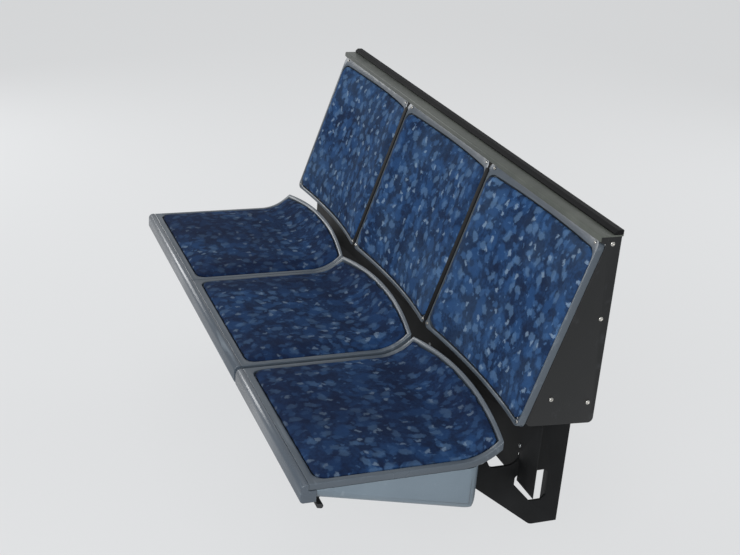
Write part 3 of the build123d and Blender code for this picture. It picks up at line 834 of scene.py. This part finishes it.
# start of the nodes' names, how far their edges are rounded over
roundings = [
    ("seat_shell_", 1.8), ("back_shell_", 2.4), ("seat_nose_", 1.2), ("under_cover_", 1.4),
    ("end_cap_", 0.9), ("top_ledge", 0.6), ("wall_bracket_", 0.8),
    ("release_lever_", 0.9), ("seat_channels_", 0.6), ("back_tube_", 1.8),
    ("rear_tube_", 1.8), ("front_tube_", 1.8), ("back_rail_", 0.8), ("stop_pads", 1.0),
    ("closing_pan", 0.5), ("pivot_shaft_", 0.8),
]
for start, width in roundings:
    for node in sorted(nodes):
        if node.startswith(start):
            soften(node, width * mm)

add_joint_strips_and_shade()
add_closures()
add_fixed_fittings()
add_unit_fittings()


# Floor, light and camera

def seen_directly(tree):
    """1 for what the camera sees, itself or in a gloss or a clear thing, else 0."""
    path = put(tree, "LightPath", {})
    seen = put(tree, "Math", {0: path.outputs["Is Camera Ray"],
                              1: path.outputs["Is Glossy Ray"]}, operation="ADD")
    return put(tree, "Math", {0: seen, 1: path.outputs["Is Transmission Ray"]},
               operation="ADD", use_clamp=True)


def add_floor():
    """A wide pale floor, flat and matt, which holds its tone far from the lamps."""
    shape = bmesh.new()
    bmesh.ops.create_grid(shape, x_segments=1, y_segments=1, size=16)
    bmesh.ops.translate(shape, verts=shape.verts, vec=(0, 0, floor_z))
    material = bpy.data.materials.new("plain_floor")
    material.use_nodes = True
    tree = material.node_tree
    tree.nodes.clear()
    matt = put(tree, "BsdfDiffuse", {"Color": linear("#d4d6d8")})
    glow = put(tree, "Emission", {"Color": linear("#f2f3f4"), "Strength": 1.0})
    share = put(tree, "Math", {0: seen_directly(tree), 1: 0.64}, operation="MULTIPLY")
    blend = put(tree, "MixShader", {0: share, 1: matt, 2: glow})
    put(tree, "OutputMaterial", {"Surface": blend})
    new_piece("floor", shape, material)


def aim(holder, spot, target):
    """Places a lamp or the camera at a spot, faces it to a target and adds it."""
    holder.location = spot
    direction = Vector(target) - Vector(spot)
    holder.rotation_euler = direction.to_track_quat("-Z", "Y").to_euler()
    bpy.context.scene.collection.objects.link(holder)


def add_lamp(name, spot, target, size, power):
    """A soft square lamp of neutral white."""
    lamp = bpy.data.lights.new(name, "AREA")
    lamp.size = size
    lamp.energy = power
    holder = bpy.data.objects.new(name, lamp)
    holder.visible_camera = False
    aim(holder, spot, target)


def add_world():
    """Even light from all round, and a pale backdrop beyond the floor."""
    world = bpy.data.worlds.new("studio")
    world.use_nodes = True
    tree = world.node_tree
    tree.nodes.clear()
    light = put(tree, "Background", {"Color": linear("#eceef0"), "Strength": 0.42})
    backdrop = put(tree, "Background", {"Color": linear("#cfd1d3"), "Strength": 1.0})
    blend = put(tree, "MixShader", {0: seen_directly(tree), 1: light, 2: backdrop})
    put(tree, "OutputWorld", {"Surface": blend})
    bpy.context.scene.world = world


# name, place, spot that it faces, width in metres, power in watts
lamps = [
    ("near_side", (3.3, -2.4, 1.5), (0, -0.2, 0), 2.0, 100),
    ("overhead", (0.0, -0.9, 3.0), (0, -0.3, 0), 2.2, 10),
    ("far_side", (-3.2, -1.7, 0.9), (0, -0.5, -0.1), 1.3, 26),
    ("wall_fill", (-1.4, 3.2, 1.6), (0, 0, 0), 2.0, 28),
]

add_floor()
add_world()
for lamp in lamps:
    add_lamp(*lamp)

# The camera stands past the near end and leans a little to one side, as a wide view shows
# what is far from its middle
camera = bpy.data.cameras.new("camera")
camera.lens = 61
camera.sensor_width = 36
viewer = bpy.data.objects.new("camera", camera)
aim(viewer, (2.420, -1.175, 1.106), (0.030, -0.210, 0.012))
viewer.rotation_euler.rotate_axis("Z", radians(4.5))
bpy.context.scene.camera = viewer
bpy.context.scene.view_settings.view_transform = "Standard"
